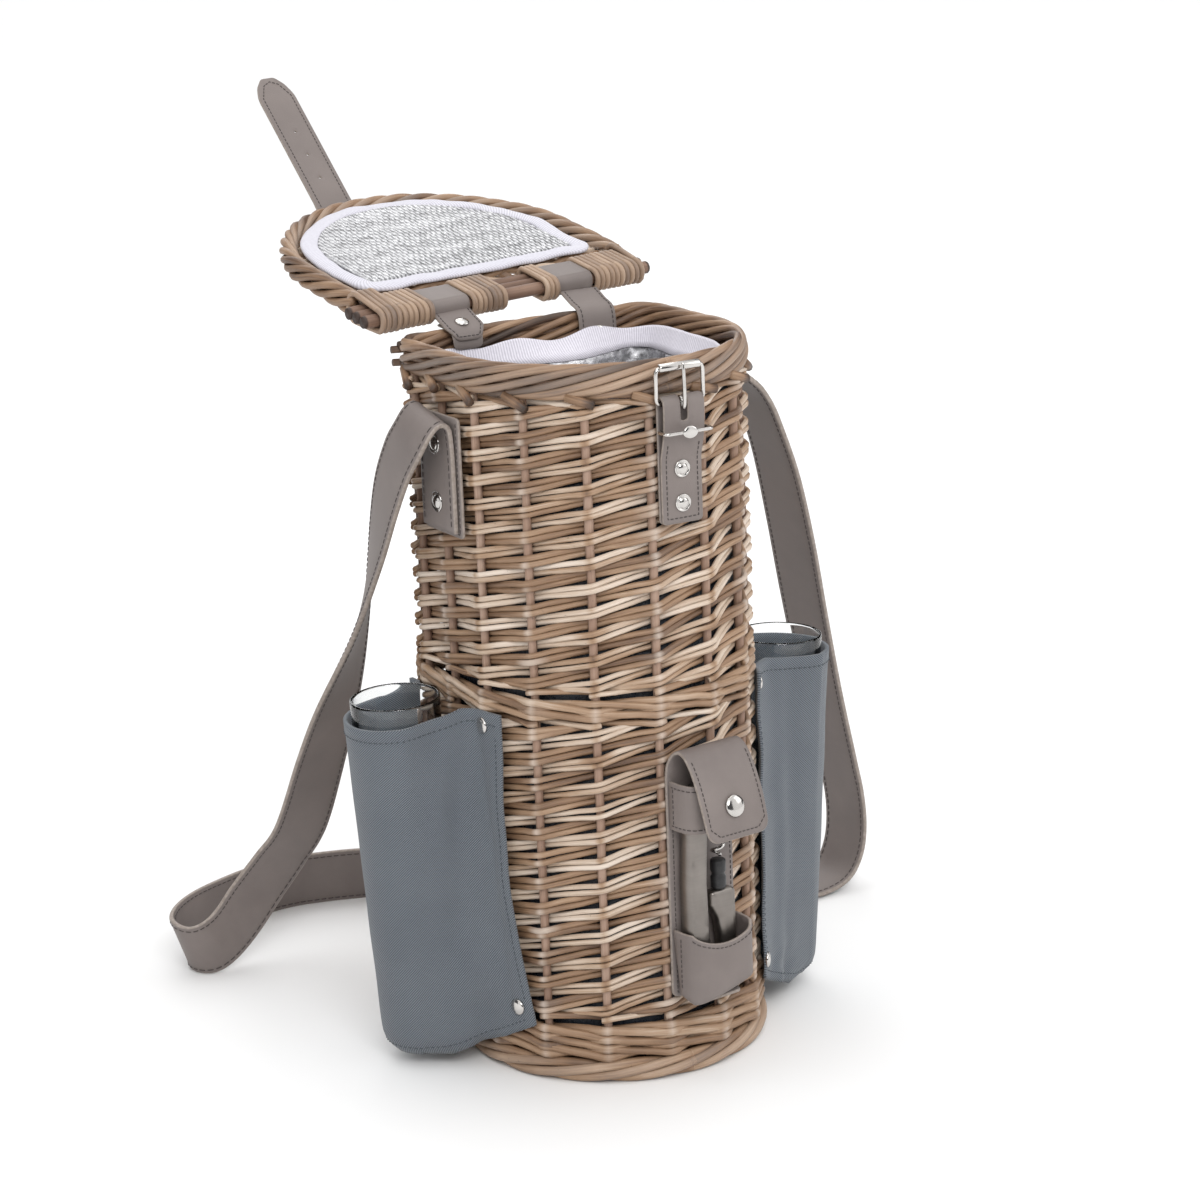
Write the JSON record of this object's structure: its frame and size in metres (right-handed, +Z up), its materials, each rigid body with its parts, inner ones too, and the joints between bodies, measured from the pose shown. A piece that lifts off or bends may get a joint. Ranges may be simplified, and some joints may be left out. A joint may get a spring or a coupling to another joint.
{
  "type": "wicker bottle carrier",
  "caption": "Woven willow bottle carrier with a hinged lid, closing strap and buckle, shoulder strap, corkscrew holder and glasses in side pockets.",
  "frame": {"origin": "middle of the base, on the floor", "axes": "+Z up, -Y towards the buckle, +X to the side of the pocket nearer the corkscrew"},
  "size_m": [0.4268, 0.4579, 0.5184],
  "materials": {
    "pale_wicker": "natural peeled willow",
    "brown_wicker": "washed brown willow",
    "dark_wicker": "unpeeled dark willow",
    "leather": "smooth matt taupe",
    "canvas": "slate blue-grey woven cloth",
    "white_lining": "pale lining cloth",
    "foil_lining": "quilted silver foil",
    "nickel": "polished nickel",
    "tool_steel": "brushed",
    "black_plastic": "matt black",
    "glass": "clear"
  },
  "bodies": {
    "basket": {"base_mat": "brown_wicker", "foot_border": "brown_wicker", "stake_frame": "dark_wicker", "corner_post_left": "dark_wicker", "corner_post_right": "dark_wicker", "upsett_waling": "brown_wicker", "lower_weave": "pale_wicker", "mid_waling": "brown_wicker", "upper_weave": "pale_wicker", "top_border": "brown_wicker", "liner_bag": "foil_lining", "liner_collar": "white_lining", "hinge_anchor_left": "leather", "hinge_anchor_right": "leather", "hinge_stud_left": "nickel", "hinge_stud_right": "nickel", "buckle_tab": "leather", "tab_rivet_lower": "nickel", "tab_rivet_upper": "nickel", "shoulder_strap": "leather", "strap_patch_left": "leather", "strap_patch_right": "leather", "strap_rivet_left_lower": "nickel", "strap_rivet_left_upper": "nickel", "strap_rivet_right_lower": "nickel", "strap_rivet_right_upper": "nickel", "pocket_left": "canvas", "pocket_right": "canvas", "pocket_rivet_left_lower": "nickel", "pocket_rivet_left_upper": "nickel", "pocket_rivet_right_lower": "nickel", "pocket_rivet_right_upper": "nickel", "holder_back": "leather", "holder_band": "leather", "holder_pocket": "leather"},
    "lid": {"lid_hoop": "brown_wicker", "lid_weave": "pale_wicker", "lid_bar_inner": "brown_wicker", "lid_bar_middle": "brown_wicker", "lid_bar_outer": "brown_wicker", "lid_pad_binding": "white_lining", "lid_pad": "foil_lining", "hinge_loop_left": "leather", "hinge_loop_right": "leather", "lid_strap_base": "leather", "lid_strap_rivet_1": "nickel", "lid_strap_rivet_2": "nickel"},
    "closing_strap": {"lid_strap": "leather"},
    "buckle": {"buckle_frame": "nickel"},
    "roller": {"buckle_roller": "nickel"},
    "prong": {"buckle_prong": "nickel"},
    "keeper": {"buckle_keeper": "nickel"},
    "flap": {"holder_flap": "leather", "snap_cap": "nickel"},
    "corkscrew": {"corkscrew_handle": "tool_steel", "corkscrew_lever": "tool_steel", "corkscrew_hub": "black_plastic", "corkscrew_worm": "nickel"},
    "glass_left_body": {"glass_left": "glass"},
    "glass_right_body": {"glass_right": "glass"}
  },
  "joints": [
    {"name": "lid_hinge", "type": "hinge", "parent": "basket", "child": "lid", "pos_m": [0, 0.088, 0.4116], "axis": [0.9991, 0.0401, 0.0122], "range_deg": [0, 169]},
    {"name": "lid_strap_fold", "type": "hinge", "parent": "lid", "child": "closing_strap", "pos_m": [-0.01826, 0.26219, 0.43572], "axis": [-0.9965, -0.0771, -0.0318], "range_deg": [-57, 35]},
    {"name": "buckle_swing", "type": "hinge", "parent": "basket", "child": "buckle", "pos_m": [0, -0.0847, 0.379], "axis": [1, 0, 0], "range_deg": [0, 95]},
    {"name": "roller_spin", "type": "hinge", "parent": "buckle", "child": "roller", "pos_m": [0, -0.0847, 0.398], "axis": [1, 0, 0], "continuous": true},
    {"name": "prong_swing", "type": "hinge", "parent": "buckle", "child": "prong", "pos_m": [0, -0.0847, 0.379], "axis": [-1, 0, 0], "range_deg": [-90, 0]},
    {"name": "keeper_slide", "type": "slide", "parent": "basket", "child": "keeper", "axis": [0, 0, 1], "range_m": [-0.004, 0.003]},
    {"name": "flap_lift", "type": "hinge", "parent": "basket", "child": "flap", "pos_m": [0.00905, -0.08897, 0.1893], "axis": [-0.9954, -0.0958, 0], "range_deg": [-5, 105]},
    {"name": "corkscrew_slide", "type": "slide", "parent": "basket", "child": "corkscrew", "axis": [0, 0, 1], "range_m": [0, 0.009]},
    {"name": "glass_left_lift", "type": "slide", "parent": "basket", "child": "glass_left_body", "axis": [-0.0349, 0, 0.9994], "range_m": [0, 0.06]},
    {"name": "glass_right_lift", "type": "slide", "parent": "basket", "child": "glass_right_body", "axis": [0.0349, 0, 0.9994], "range_m": [0, 0.06]}
  ]
}
